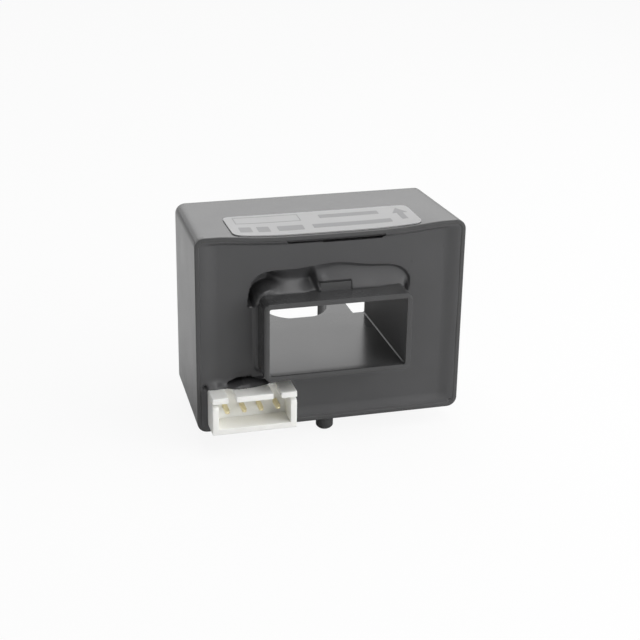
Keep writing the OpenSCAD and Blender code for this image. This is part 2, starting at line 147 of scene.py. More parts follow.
def finished(bm, name, material, slot, *nodes, smooth=35, scale=MM, weighted=True):
    """Turns a bmesh into a piece in the part's frame, in metres, that rides on the part; weighted normals
    keep a flat face flat to the eye beside its rounded edges."""
    bmesh.ops.recalc_face_normals(bm, faces=bm.faces)
    mesh = bpy.data.meshes.new(name)
    bm.to_mesh(mesh)
    bm.free()
    if scale != 1:
        mesh.transform(Matrix.Scale(scale, 4) @ Matrix.Translation((0, RIM_Y, 0)))
    mesh.shade_smooth()
    mesh.set_sharp_from_angle(angle=math.radians(smooth))
    mesh.materials.append(material)
    piece = bpy.data.objects.new(name, mesh)
    bpy.context.scene.collection.objects.link(piece)
    if weighted:
        piece.modifiers.new("flat_faces", "WEIGHTED_NORMAL").keep_sharp = True
    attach(piece, "root")
    if nodes:
        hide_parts(*nodes)
    return piece


# Material tools

def linear(hex_colour):
    """An sRGB hex colour as linear values."""
    parts = [int(hex_colour[i:i + 2], 16) / 255 for i in (1, 3, 5)]
    return [c / 12.92 if c <= 0.04045 else ((c + 0.055) / 1.055) ** 2.4 for c in parts] + [1.0]


def add(tree, kind, sockets, **settings):
    """Adds a node with its settings; a socket's value is a constant or another node's output."""
    made = tree.nodes.new("ShaderNode" + kind)
    for name, value in settings.items():
        setattr(made, name, value)
    for name, value in sockets.items():
        if isinstance(value, bpy.types.NodeSocket):
            tree.links.new(value, made.inputs[name])
        else:
            made.inputs[name].default_value = value
    return made


def new_material(name):
    material = bpy.data.materials.new(name)
    material.use_nodes = True
    tree = material.node_tree
    tree.nodes.clear()
    return material, tree, add(tree, "TexCoord", {}).outputs["Object"]


def close(tree, shader):
    add(tree, "OutputMaterial", {"Surface": shader.outputs[0]})


def grain(size_mm):
    """Noise scale at which one patch is about this wide, on Object coordinates in metres."""
    return 1 / (size_mm * MM)


def upright_walls(tree, place, aside, low, high):
    """1 on the two upright walls this far aside of the middle and between two heights, in millimetres."""
    middle, half, slack = (low + high) / 2 * MM, (high - low) / 2 * MM, 0.05 * MM
    at = add(tree, "SeparateXYZ", {"Vector": place})
    off = add(tree, "Math", {0: at.outputs["X"]}, operation="ABSOLUTE")
    beside = add(tree, "Math", {0: off.outputs[0], 1: aside * MM, 2: slack}, operation="COMPARE")
    level = add(tree, "Math", {0: at.outputs["Z"], 1: middle, 2: half}, operation="COMPARE")
    both = add(tree, "Math", {0: beside.outputs[0], 1: level.outputs[0]}, operation="MULTIPLY")
    return both.outputs[0]


PATCH_LOW, PATCH_HIGH = 0.3, 0.7    # span of the patches' noise that carries the change of tone and gloss
COARSER, COARSE_MARGIN = 0.32, 0.12  # roughness that a coarse wall adds, and how far from its ends it starts


def grained(name, dark, light, roughness, grit_mm, grit_depth_mm, patch_mm=6.0, spread=0.06, coarse=None,
            **sockets):
    """A material with a slow change of tone and of gloss over a fine grit; walls given as coarse scatter
    more."""
    material, tree, place = new_material(name)
    patch = add(tree, "TexNoise", {"Vector": place, "Scale": grain(patch_mm), "Detail": 3.0,
                                   "Roughness": 0.55})
    grit = add(tree, "TexNoise", {"Vector": place, "Scale": grain(grit_mm), "Detail": 2.0,
                                  "Roughness": 0.6})
    tone = add(tree, "ValToRGB", {"Fac": patch.outputs["Fac"]})
    first, last = tone.color_ramp.elements
    first.position, first.color = PATCH_LOW, linear(dark)
    last.position, last.color = PATCH_HIGH, linear(light)
    gloss = add(tree, "MapRange", {"Value": patch.outputs["Fac"], "From Min": PATCH_LOW,
                                   "From Max": PATCH_HIGH, "To Min": roughness - spread,
                                   "To Max": roughness + spread})
    scatter = gloss.outputs["Result"]
    if coarse:
        walls = upright_walls(tree, place, *coarse)
        more = add(tree, "Math", {0: walls, 1: COARSER, 2: scatter}, operation="MULTIPLY_ADD")
        scatter = more.outputs[0]
    relief = add(tree, "Bump", {"Height": grit.outputs["Fac"], "Strength": 1.0,
                                "Distance": grit_depth_mm * MM})
    shader = add(tree, "BsdfPrincipled", {"Base Color": tone.outputs["Color"], "Roughness": scatter,
                                          "Normal": relief.outputs["Normal"], **sockets})
    close(tree, shader)
    return material


# Finishes

# Glass-filled PBT, moulded black in a finely eroded tool: satin, greyer where it faces the light, and
# duller on the window's upright walls, which the tool's slides left coarser
case_pbt = grained("black_glass_filled_pbt", "#404040", "#444445", 0.24, 0.35, 0.0012, spread=0.02, IOR=1.5,
                   coarse=(WINDOW_W / 2, WINDOW_FLOOR + COARSE_MARGIN, WINDOW_ROOF - COARSE_MARGIN))

# Cast epoxy: black, a little duller than the case, with shallow waves that the cure left in its face
resin_epoxy = grained("cast_black_epoxy", "#414142", "#464647", 0.33, 0.7, 0.005, patch_mm=9.0,
                      IOR=1.5)

# Natural nylon: warm white, slightly cloudy, moulded smooth
header_nylon = grained("natural_white_nylon", "#F1F1ED", "#F6F6F3", 0.42, 0.25, 0.001, patch_mm=3.0,
                       IOR=1.53, **{"Subsurface Weight": 0.5, "Subsurface Radius": (1.0, 0.98, 0.95),
                                    "Subsurface Scale": 0.7 * MM})

# Metallised polyester film: pale silver grey with a soft sheen
label_film = grained("silver_polyester_film", "#A4A4A5", "#ACACAC", 0.42, 0.3, 0.001, patch_mm=5.0,
                     IOR=1.55)

# Transferred ink: thin mid grey on the film
label_ink = grained("grey_transfer_ink", "#8A8A8B", "#929293", 0.5, 0.3, 0.002, patch_mm=0.8,
                    IOR=1.5)

# Gold over nickel on square brass wire: pale, warm metal, softened by a fine grit
pin_gold = grained("gold_plated_brass", "#EDE0B4", "#F2E8C4", 0.4, 0.12, 0.002, patch_mm=1.0,
                   Metallic=1.0)

# Rolled silicon steel, inside the resin like all that follow: cool grey metal with a soft sheen
core_steel = grained("silicon_steel_strip", "#7E7F83", "#8A8B8E", 0.38, 0.2, 0.004, patch_mm=4.0,
                     Metallic=1.0)

# Moulded chip epoxy: near black and dull
chip_epoxy = grained("moulded_chip_epoxy", "#232324", "#292929", 0.55, 0.12, 0.004, patch_mm=2.0,
                     IOR=1.5)

# Tinned copper: pale, bright metal
lead_tin = grained("tinned_copper", "#B9BABC", "#C7C8C9", 0.3, 0.15, 0.002, patch_mm=0.8,
                   Metallic=1.0)

# Solder mask over laminate: dark green, semi-gloss
board_mask = grained("green_solder_mask", "#17502E", "#1C5A35", 0.36, 0.25, 0.003, patch_mm=3.0,
                     IOR=1.5)

# Blue nylon, moulded: satin
trimmer_nylon = grained("blue_moulded_nylon", "#2B5796", "#3361A3", 0.45, 0.2, 0.003, patch_mm=2.0,
                        IOR=1.5)

# Fired ceramic: tan and dull
capacitor_ceramic = grained("tan_ceramic", "#A08762", "#AC936D", 0.5, 0.1, 0.003, patch_mm=0.8,
                            IOR=1.6)


# Case

TUBE_LEFT = -10.3       # edges of the tube's front left of this belong to its left side
TOP_BAND = 3.2          # the top wall and its round corners lie within this much of the case's height
RUN_CUTS = 15           # divisions of the faces that run through the depth


def make_case_shell():
    """Outer walls, rear skirt and wall, tube and cavity as one closed chain of loops."""
    bm = bmesh.new()
    bevel_end = WALL - RIM_LAND
    loops = [
        case_loop(bm, 0, 0),                                # outer edge of the rim
        case_loop(bm, CASE_D, 0),                           # edge of the rear skirt
        case_loop(bm, CASE_D, SKIRT_T),                     # inner edge of the skirt
        case_loop(bm, REAR_FACE, SKIRT_T),                  # foot of the skirt
        window_loop(bm, REAR_FACE, 0),                      # window in the rear wall
        window_loop(bm, -TUBE_PROUD, 0),                    # window in the tube's front
        window_loop(bm, -TUBE_PROUD, TUBE_WALL),            # outside of the tube's front
        window_loop(bm, SHOULDER_AT, TUBE_WALL),            # foot of the shoulder
        window_loop(bm, SHOULDER_AT, TUBE_WALL + SHOULDER),
        window_loop(bm, CAVITY_END, TUBE_WALL + SHOULDER),
        case_loop(bm, CAVITY_END, WALL),                    # back of the cavity
        case_loop(bm, bevel_end, WALL),                     # foot of the mouth's bevel
        case_loop(bm, 0, RIM_LAND),                         # inner edge of the rim
    ]
    for a, b in zip(loops, loops[1:] + loops[:1]):
        bridged(bm, a, b)
    soften(bm, loops[0], RIM_SOFT, 3)
    soften(bm, loops[1] + loops[2], SKIRT_SOFT, 3)
    sill = [e for e in loops[5] if max(v.co.z for v in e.verts) < WINDOW_FLOOR + NEAR]
    soften(bm, [e for e in loops[5] if e not in sill], TUBE_SOFT)
    soften(bm, sill, SILL_SOFT)
    left_side = [e for e in loops[6] if e.is_valid and max(v.co.x for v in e.verts) < TUBE_LEFT]
    soften(bm, [e for e in loops[6] if e not in left_side], TUBE_SOFT)
    soften(bm, left_side, TUBE_LEFT_SOFT, 4)
    soften(bm, loops[12], MOUTH_SOFT)
    runs = [e for e in bm.edges if abs(e.verts[0].co.y - e.verts[1].co.y) > CASE_D / 2]
    bmesh.ops.subdivide_edges(bm, edges=runs, cuts=RUN_CUTS, use_grid_fill=True)
    for v in bm.verts:
        if v.co.z > CASE_H - TOP_BAND:
            v.co.z -= float(sag(v.co.x, v.co.y))
    return finished(bm, "case_shell", case_pbt, "case", "case")


def make_peg():
    """The locating peg: a turned profile under the case."""
    bm = bmesh.new()
    depth, r = -RIM_Y, PEG_D / 2
    profile = [(0, -PEG_L), (r - PEG_BEVEL, -PEG_L), (r, PEG_BEVEL - PEG_L), (r, WALL / 2), (0, WALL / 2)]
    verts = [bm.verts.new((x, depth, z)) for x, z in profile]
    edges = [bm.edges.new(pair) for pair in zip(verts, verts[1:])]
    bmesh.ops.spin(bm, geom=verts + edges, cent=(0, depth, 0), axis=(0, 0, 1), angle=2 * math.pi,
                   steps=PEG_STEPS, use_merge=True)
    bmesh.ops.remove_doubles(bm, verts=bm.verts, dist=MERGE)
    rims = [e for e in sharp_edges(bm) if max(v.co.z for v in e.verts) < 0]
    soften(bm, rims, PEG_SOFT)
    return finished(bm, "case_peg", case_pbt, "case", "case")


def make_key():
    """The key over the tube, whose end shows in the resin."""
    bm = bmesh.new()
    low = Vector((KEY_X - KEY_W / 2, -KEY_PROUD, WINDOW_ROOF + TUBE_WALL / 4))
    high = Vector((KEY_X + KEY_W / 2, CAVITY_END, KEY_TOP))
    place = Matrix.Translation((low + high) / 2) @ Matrix.Diagonal((*(high - low), 1))
    bmesh.ops.create_cube(bm, size=1, matrix=place)
    for v in bm.verts:
        if v.co.y < 0 and v.co.z > TUBE_TOP:
            v.co.y += KEY_LEAN
    soften(bm, list(bm.edges), KEY_SOFT)
    return finished(bm, "case_key", case_pbt, "case", "case")


def turned_block(bm, inner, low, high, front, end, angle):
    """A block of the foot with a round space on the screw's axis: a section turned about it, then squared
    outside. A half turn is drawn out to the end as two prongs; a full turn is cut off there."""
    outer = 13.0            # radius of the turned section; it reaches past the block's corners
    axis, full = Vector((0, SCREW_AT, 0)), angle > 1.5 * math.pi
    section = ((outer, high), (inner, high), (inner, low), (outer, low))
    corners = [bm.verts.new((-r, SCREW_AT, z)) for r, z in section]
    if full:
        edges = [bm.edges.new(pair) for pair in zip(corners, corners[1:] + corners[:1])]
        bmesh.ops.spin(bm, geom=corners + edges, cent=axis, axis=(0, 0, 1), angle=angle,
                       steps=TURN_STEPS, use_merge=True)
    else:
        start = bm.faces.new(corners)
        last = bmesh.ops.spin(bm, geom=[start] + list(start.edges) + corners, cent=axis, axis=(0, 0, 1),
                              angle=angle, steps=TURN_STEPS // 2)["geom_last"]
        for cap in [start] + [g for g in last if isinstance(g, bmesh.types.BMFace)]:
            drawn = bmesh.ops.extrude_face_region(bm, geom=[cap])["geom"]
            prong = [g for g in drawn if isinstance(g, bmesh.types.BMVert)]
            bmesh.ops.translate(bm, vec=(0, end - SCREW_AT, 0), verts=prong)
        inside = [f for f in bm.faces
                  if abs(f.calc_center_median().y - SCREW_AT) < MERGE and abs(f.normal.y) > 0.99]
        bmesh.ops.delete(bm, geom=inside, context="FACES_ONLY")
    for v in bm.verts:
        if math.hypot(v.co.x, v.co.y - SCREW_AT) > outer - NEAR:
            v.co.x = max(-FOOT_W / 2, min(FOOT_W / 2, v.co.x))
            v.co.y = max(front, min(SCREW_AT + HEAD_D, v.co.y))
    bmesh.ops.remove_doubles(bm, verts=bm.verts, dist=10 * MERGE)
    if full:
        bmesh.ops.bisect_plane(bm, geom=list(bm.verts) + list(bm.edges) + list(bm.faces), dist=1e-5,
                               plane_co=(0, end, 0), plane_no=(0, 1, 0), clear_outer=True)
        bmesh.ops.holes_fill(bm, edges=[e for e in bm.edges if e.is_boundary], sides=0)


def make_foot():
    """The screw foot behind the case: a plate with an open slot, and above it the round space for the
    screw's head."""
    front, end = REAR_FACE - HEAD_BITE - OVERLAP, REAR_FACE + FOOT_L

    def on_seam(v):
        """Whether a vertex lies on the outside where the two blocks meet, which stays one flat face."""
        outside = abs(v.co.x) > FOOT_W / 2 - NEAR or v.co.y > end - NEAR
        return outside and abs(v.co.z - FOOT_PLATE) < NEAR

    for name, inner, low, high, angle in (
            ("case_foot_plate", SCREW_SLOT / 2, 0, FOOT_PLATE, math.pi),
            ("case_foot_seat", HEAD_D / 2, FOOT_PLATE, WINDOW_FLOOR - FOOT_DROP, 2 * math.pi)):
        bm = bmesh.new()
        turned_block(bm, inner, low, high, front, end, angle)
        free = [e for e in sharp_edges(bm) if min(v.co.y for v in e.verts) > REAR_FACE + NEAR]
        soften(bm, [e for e in free if not all(on_seam(v) for v in e.verts)], FOOT_SOFT)
        for v in bm.verts:
            v.co.y = min(v.co.y, end)       # no corner of the rounding passes the end face
        finished(bm, name, case_pbt, "case", "case")


# Resin

# Outline of the collar that the resin formed round the tube, on the face (across, height)
COLLAR = np.array([
    (-12.35, 18.6), (-12.3, 20.8), (-11.8, 22.4), (-10.7, 23.7), (-9.2, 24.2), (-6.8, 24.25),
    (-4.4, 24.25), (-2.7, 24.5), (-0.8, 24.8), (1.6, 24.8), (3.4, 24.4), (5.9, 23.9), (8.4, 23.8),
    (10.1, 23.4), (11.4, 22.4), (12.0, 21.0), (11.8, 12.0), (11.6, 8.6), (10.8, 8.2), (-10.6, 8.2),
    (-11.8, 8.7), (-12.1, 10.0)])
# Along the top of the collar: how deep its trough is, how much of its width the trough takes, and how
# far it climbs the tube
TROUGH_X = (-12.2, -11.0, -9.0, -8.1, -7.0, -5.6, -4.2, -2.8, -1.2, 0.5, 3.0, 6.0, 9.0, 10.4, 11.5)
TROUGH_DEPTH = (2.6, 2.6, 2.6, 1.4, 0.75, 0.7, 0.85, 1.2, 1.3, 1.28, 1.3, 1.35, 1.35, 1.35, 1.3)
TROUGH_SHARE = (0.16, 0.2, 0.3, 0.47, 0.49, 0.5, 0.55, 0.57, 0.28, 0.2, 0.16, 0.13, 0.12, 0.12, 0.12)
CLIMB = (1.2, 1.4, 0.9, 0.9, 1.0, 1.0, 1.0, 1.0, 1.25, 1.25, 1.2, 1.2, 0.6, 0.2, 0.1)
# Where the collar's parts set in, each from none to full: its top by height, its left side and the corner
# between them from the right, and the stretch whose trough has a soft edge from both ends
TOP_IN, LEFT_IN, CORNER_IN = (TUBE_TOP - 1.2, TUBE_TOP + 0.4), (-10.3, -11.2), (-7.6, -9.4)
SOFT_LEFT_IN, SOFT_RIGHT_IN = (-11.0, -9.5), (-3.0, -6.0)
# The left side: its hole and the climb beside it set in by height
HOLE_DEPTH, HOLE_IN, HOLE_CLIMB, HOLE_CLIMB_IN = 2.6, (18.7, 19.9), 0.9, (18.6, 19.8)
LEFT_SHARE, SIDE_CLIMB = 0.25, 0.35
SOFT_EDGE, CLIMB_ROUND = 0.12, 0.4      # softness of the trough's edge and of the climb's foot
# The fold and the ledge to the right of it: place across at one height, lean, depth and reach
FOLD_X, FOLD_Z, FOLD_LEAN, FOLD_DEPTH, FOLD_MIDDLE = -2.75, 22.0, 0.2, 0.75, 21.2
FOLD_LEFT, FOLD_RIGHT, FOLD_UP = 1.2, 0.45, 1.2
LEDGE_X, LEDGE_IN = -2.3, (-0.75, 0.35)

# Outline of the void over the header, and its depth
VOID = np.array([
    (-15.5, 7.4), (-14.9, 7.75), (-14.2, 7.95), (-13.2, 8.05), (-12.1, 7.95), (-11.1, 7.75),
    (-10.3, 7.5), (-9.7, 7.25), (-9.7, 7.1), (-10.3, 7.25), (-11.2, 7.55), (-12.1, 7.66),
    (-13.0, 7.6), (-14.2, 7.35), (-15.2, 7.25)])
VOID_DEPTH, VOID_EDGE = 2.4, (0.06, -0.12)
# Along the header's top: how far the resin's lip stands out over it; elsewhere it stands out evenly
LIP_X = (-18.5, -16.3, -15.6, -14.6, -12.4, -10.8, -9.5, -9.0)
LIP = (0.9, 1.0, 1.0, 1.7, 1.7, 1.3, 0.8, 0.3)
LIP_ELSEWHERE, LIP_BAND, LIP_FALL = 0.25, 0.4, 0.32
# Over the void the lip is a dam: where it sets in from both ends, its slope and the edge where it ends
DAM_LEFT_IN, DAM_RIGHT_IN, DAM_SLOPE, DAM_EDGE = (-15.2, -14.0), (-9.8, -10.8), 0.55, (1.05, 0.78)
# Inside the header and behind the key's end the face is sunk out of sight
HEADER_SINK, HEADER_MARGIN, KEY_SINK, SINK_INSIDE = 3.2, 0.4, 0.6, 0.1

# Strip along each wall in which the resin climbs to the rim (left, right, floor, top), how close to the
# wall it stops climbing, and how far it stays behind the rim
WALL_REACH, WALL_FULL, BEHIND_RIM = (2.8, 2.6, 1.8, 0.8), 0.2, 0.08
# Groove round the key: depth, width and distance from the key
GROOVE_DEPTH, GROOVE_W, GROOVE_OFF = 0.25, 0.1, 0.02
# Gap under the sunken top wall: its height along the wall, how soft its edge is and how deep it goes
GAP_X, GAP_H = (-6.8, -6.4, -1.8, -1.2, 7.4, 7.9), (0.0, 0.5, 0.54, 0.7, 0.7, 0.0)
GAP_EDGE, GAP_DEPTH = 0.1, 2.5
# Shallow waves of the cured face: height
WAVES = 0.02

# Mounds and dents: how far each stands out, its place (across, height) and its reach (across, up).
# Beads at the key's left end and a crevice at the tube's right corner; a lump and a dent at the header's
# left end; a dent in the lower right corner and specks of dust in the face
TUBE_MOUNDS = ((0.4, -1.9, 21.0, 0.3, 0.5), (0.3, -1.6, 22.4, 0.7, 0.8), (-0.7, 11.3, 19.9, 0.25, 0.8))
HEADER_MOUNDS = ((0.45, -17.2, 7.35, 0.8, 0.45), (-0.9, -18.75, 7.1, 0.3, 0.3))
SPECKS = ((12.2, 24.0), (11.8, 22.5), (17.0, 25.9), (17.9, 20.1), (-13.6, 9.0), (-16.9, 25.2))
FACE_MOUNDS = ((-0.4, 18.95, 1.0, 0.2, 0.2), *((0.05, x, z, 0.14, 0.14) for x, z in SPECKS))

FACE_CUTS, FACE_RINGS = (210, 150), 84      # divisions of the face along its sides, and rings between them
RIM_CLEAR = 0.02                            # the face's edge stays this far inside the rim
SINKS_FROM = WINDOW_Z + 8                   # above this height the face sinks with the top wall


def mound(x, z, cx, cz, rx, rz):
    return np.exp(-((x - cx) / rx) ** 2 - ((z - cz) / rz) ** 2)


def mounds(x, z, table):
    return sum(out * mound(x, z, *spot) for out, *spot in table)


def step(low, high, value):
    t = np.clip((value - low) / (high - low), 0, 1)
    return t * t * (3 - 2 * t)


def box_distance(x, z, cx, cz, hx, hz, r):
    """Distance outside a rectangle with round corners; negative inside."""
    qx, qz = np.abs(x - cx) - hx + r, np.abs(z - cz) - hz + r
    return np.hypot(np.maximum(qx, 0), np.maximum(qz, 0)) + np.minimum(np.maximum(qx, qz), 0) - r


def outline_distance(x, z, outline):
    """Distance to a closed outline; negative inside."""
    best, inside = np.full(x.shape, 1e9), np.zeros(x.shape, bool)
    for (ax, az), (bx, bz) in zip(outline, np.roll(outline, -1, axis=0)):
        ex, ez = bx - ax, bz - az
        t = np.clip(((x - ax) * ex + (z - az) * ez) / (ex * ex + ez * ez), 0, 1)
        best = np.minimum(best, np.hypot(x - ax - t * ex, z - az - t * ez))
        crosses = (az > z) != (bz > z)
        inside ^= crosses & (x < ax + (z - az) * ex / (ez if ez else 1))
    return np.where(inside, -best, best)


def cut_corners(outline):
    """The outline with its corners cut, three times over, which leaves a smooth curve."""
    for _ in range(3):
        after = np.roll(outline, -1, axis=0)
        near, far = 0.75 * outline + 0.25 * after, 0.25 * outline + 0.75 * after
        outline = np.stack([near, far], axis=1).reshape(-1, 2)
    return outline


def along(x, table, blur=0.5):
    """A value along the collar's top, from its table with the corners smoothed."""
    return sum(share * np.interp(x + blur * off, TROUGH_X, table)
               for off, share in ((-1.5, 0.1), (-0.75, 0.25), (0, 0.3), (0.75, 0.25), (1.5, 0.1)))


def collar_rise(x, z):
    """The collar: inside its outline it drops into a trough and then climbs the tube; most of it lies over
    the tube. Beside the hole at its left end it climbs in one steep step and leaves a bead there."""
    to_tube = box_distance(x, z, 0, WINDOW_Z, TUBE_X, TUBE_TOP - WINDOW_Z, WINDOW_R + TUBE_WALL)
    inward = np.maximum(-outline_distance(x, z, cut_corners(COLLAR)), 0)
    share = inward / np.maximum(inward + np.maximum(to_tube, 0), 1e-6)
    top = step(*TOP_IN, z)
    left = step(*LEFT_IN, x) * (1 - top)
    lean = FOLD_LEAN * (z - FOLD_Z)
    ledge = step(*LEDGE_IN, x - LEDGE_X + lean)
    depth = top * (along(x, TROUGH_DEPTH) - ledge) + HOLE_DEPTH * left * step(*HOLE_IN, z)
    width = np.clip(top * along(x, TROUGH_SHARE) + LEFT_SHARE * left, 0.1, 0.9)
    beside = SIDE_CLIMB + HOLE_CLIMB * step(*HOLE_CLIMB_IN, z) * left
    climb = top * along(x, CLIMB) + beside * (1 - top)
    drop = np.minimum(share / width, 1)
    soft = step(*SOFT_RIGHT_IN, x) * step(*SOFT_LEFT_IN, x)
    drop = drop * (1 - soft + soft * (1 + SOFT_EDGE) * drop / (drop + SOFT_EDGE))
    corner = np.maximum(left, top * step(*CORNER_IN, x))
    steep = step(0.57 - 0.15 * left, 0.8 - 0.08 * left, share)      # shares of the collar's width
    bead = 0.9 * steep + 0.1 * np.clip((share - 0.75) / 0.25, 0, 1)
    slope = np.maximum(share - width, 0) / (1 - width)
    up = (1 - corner) * (1 + CLIMB_ROUND) * slope ** 2 / (slope + CLIMB_ROUND) + corner * bead
    rise = (climb + depth) * up - depth * (1 - (1 - drop) ** 2)
    fold = FOLD_X - lean
    reach = np.where(x < fold, FOLD_LEFT, FOLD_RIGHT)
    rise -= FOLD_DEPTH * mound(x, z, fold, FOLD_MIDDLE, reach, FOLD_UP) * step(0.0, 0.3, share)
    return rise + mounds(x, z, TUBE_MOUNDS)


def wall_rise(x, z):
    """The face climbs to the rim along the walls."""
    sides = (x + CASE_W / 2 - RIM_LAND, CASE_W / 2 - RIM_LAND - x, z - RIM_LAND, CASE_H - RIM_LAND - z)
    flat = 1.0
    for side, reach in zip(sides, WALL_REACH):
        flat = flat * (1 - step(reach, WALL_FULL, side))
    return (RESIN_FACE - BEHIND_RIM) * (1 - flat)


def round_header(x, z, rise):
    """Round the header: a lip on its top, a void over its middle, a lump and a dent at its left end."""
    to_header = box_distance(x, z, (HEADER_X0 + HEADER_X1) / 2, (HEADER_Z0 + HEADER_Z1) / 2,
                             (HEADER_X1 - HEADER_X0) / 2, (HEADER_Z1 - HEADER_Z0) / 2, 0.1)
    over = step(HEADER_Z1 - LIP_BAND, HEADER_Z1, z)
    off = np.maximum(to_header, 0)
    dam = step(*DAM_LEFT_IN, x) * step(*DAM_RIGHT_IN, x)
    fall = (1 - dam) * np.exp(-off / LIP_FALL) + dam * (1 - DAM_SLOPE * off) * step(*DAM_EDGE, off)
    rise = rise + (LIP_ELSEWHERE * (1 - over) + over * np.interp(x, LIP_X, LIP)) * fall
    rise = rise - (VOID_DEPTH + rise) * step(*VOID_EDGE, outline_distance(x, z, VOID))
    rise = rise + mounds(x, z, HEADER_MOUNDS)
    across = (x > HEADER_X0 + HEADER_MARGIN) & (x < HEADER_X1 - HEADER_MARGIN)
    hollow = across & (z > HEADER_Z0 + HEADER_MARGIN) & (to_header < -SINK_INSIDE)
    return np.where(hollow, -HEADER_SINK, rise)


def round_key(x, z, rise):
    """Round the key: a narrow groove."""
    to_key = box_distance(x, z, KEY_X, KEY_TOP - 1, KEY_W / 2, 1, 0.1)
    groove = GROOVE_DEPTH * np.exp(-(np.maximum(to_key - GROOVE_OFF, 0) / GROOVE_W) ** 2)
    return np.where(to_key < -SINK_INSIDE, -KEY_SINK, rise - groove)


def under_top(x, z, rise):
    """A gap under the sunken top wall, thin at its left end."""
    thick = np.interp(x, GAP_X, GAP_H)
    gap = step(thick + GAP_EDGE, thick, CASE_H - RIM_LAND - z) * (thick > 0)
    return rise * (1 - gap) - GAP_DEPTH * gap


def resin_rise(x, z):
    """How far the cast face stands out in front of its flat level."""
    rise = round_header(x, z, collar_rise(x, z) + wall_rise(x, z))
    waves = WAVES * np.sin(0.55 * x + 0.8) * np.cos(0.5 * z + 0.3)
    rise = round_key(x, z, rise) + mounds(x, z, FACE_MOUNDS) + waves
    return under_top(x, z, rise)


def make_resin():
    """The cast filling: its front face is a fine ring of quads between rim and tube, shaped in relief."""
    bm = bmesh.new()
    tube = TUBE_WALL - OVERLAP
    outer = case_loop(bm, RESIN_FACE, RIM_LAND + RIM_CLEAR, FACE_CUTS)
    inner = window_loop(bm, RESIN_FACE, tube, FACE_CUTS)
    back_outer = case_loop(bm, CAVITY_END, WALL - OVERLAP, FACE_CUTS)
    back_inner = window_loop(bm, CAVITY_END, tube, FACE_CUTS)
    around = set(outer + inner + back_outer + back_inner)
    bridged(bm, outer, inner)
    spokes = [e for e in bm.edges if e not in around]
    bmesh.ops.subdivide_edges(bm, edges=spokes, cuts=FACE_RINGS, use_grid_fill=True)
    bridged(bm, outer, back_outer)
    bridged(bm, back_outer, back_inner)
    bridged(bm, back_inner, inner)
    face = [v for v in bm.verts if v.co.y < CAVITY_END / 2]
    x, z = np.array([v.co.x for v in face]), np.array([v.co.z for v in face])
    sunk = step(SINKS_FROM, CASE_H - WALL, z) * sag(x, RESIN_FACE)
    for v, out, down in zip(face, resin_rise(x, z), sunk):
        v.co.y -= float(out)
        v.co.z -= float(down)
    return finished(bm, "potting_resin_cast", resin_epoxy, "potting_resin", "potting_resin", smooth=60,
                    weighted=False)


# Header and pins

def make_from_solid(node, name, material, slot, width, degrees=30):
    """A copy of a solid's mesh, merged and with its edges rounded; it is already in metres and in place."""
    bm = bmesh.new()
    bm.from_mesh(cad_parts[node].data)
    bmesh.ops.remove_doubles(bm, verts=bm.verts, dist=1e-6)
    bmesh.ops.dissolve_limit(bm, angle_limit=math.radians(1), verts=bm.verts, edges=bm.edges)
    soften(bm, [e for e in sharp_edges(bm, degrees) if e.is_convex], width * MM)
    return finished(bm, name, material, slot, node, scale=1)


# Label

SLICE = 0.6                             # widest slice of a sheet that follows the sunken top
INK_T, BOX_LINE, BAR_R = 0.012, 0.16, 0.15
# Marks on the label (across, depth): corners of the arrow, then sides of the box and of the bars
ARROW = ((11.2, 2.9), (12.1, 2.9), (12.1, 5.6), (12.8, 5.6), (11.65, 7.9), (10.5, 5.6), (11.2, 5.6))
BOX = (-13.0, -3.3, 5.5, 8.3)
BARS = ((-0.4, 8.6, 6.0, 7.4), (-13.0, -11.2, 1.9, 3.9), (-10.4, -8.6, 1.9, 3.9), (-7.4, -3.6, 2.0, 3.8),
        (-2.2, 9.6, 2.3, 3.7))


def lay(bm, rise, thickness):
    """Slices a flat outline (across, depth), gives it a thickness and lays it on the sunken top."""
    low = [min(v.co[i] for v in bm.verts) for i in (0, 1)]
    high = [max(v.co[i] for v in bm.verts) for i in (0, 1)]
    for axis in (0, 1):
        count = int((high[axis] - low[axis]) / SLICE)
        for i in range(1, count + 1):
            spot = [0, 0, 0]
            spot[axis] = low[axis] + (high[axis] - low[axis]) * i / (count + 1)
            bmesh.ops.bisect_plane(bm, geom=list(bm.verts) + list(bm.edges) + list(bm.faces), dist=1e-5,
                                   plane_co=spot, plane_no=(axis == 0, axis == 1, 0))
    upper = bmesh.ops.extrude_face_region(bm, geom=list(bm.faces))["geom"]
    upper = set(g for g in upper if isinstance(g, bmesh.types.BMVert))
    for v in bm.verts:
        v.co.z = float(top_height(v.co.x, v.co.y)) + rise + (thickness if v in upper else 0)


def panel(bm, x0, x1, d0, d1, radius=0.0):
    """A flat rectangle on the label, with round corners where a radius is given."""
    middle = Matrix.Translation(((x0 + x1) / 2, (d0 + d1) / 2, 0))
    quad = bmesh.ops.create_grid(bm, x_segments=1, y_segments=1, size=0.5,
                                 matrix=middle @ Matrix.Diagonal((x1 - x0, d1 - d0, 1, 1)))["verts"]
    if radius:
        bmesh.ops.bevel(bm, geom=quad, offset=radius, offset_type="OFFSET", segments=CORNER_STEPS,
                        profile=0.5, affect="VERTICES", clamp_overlap=False, material=-1)


def make_label():
    bm = bmesh.new()
    panel(bm, LABEL_X - LABEL_W / 2, LABEL_X + LABEL_W / 2, LABEL_AT, LABEL_AT + LABEL_D, LABEL_R)
    lay(bm, 0.0, LABEL_T)
    return finished(bm, "label_sheet", label_film, "label", "label")


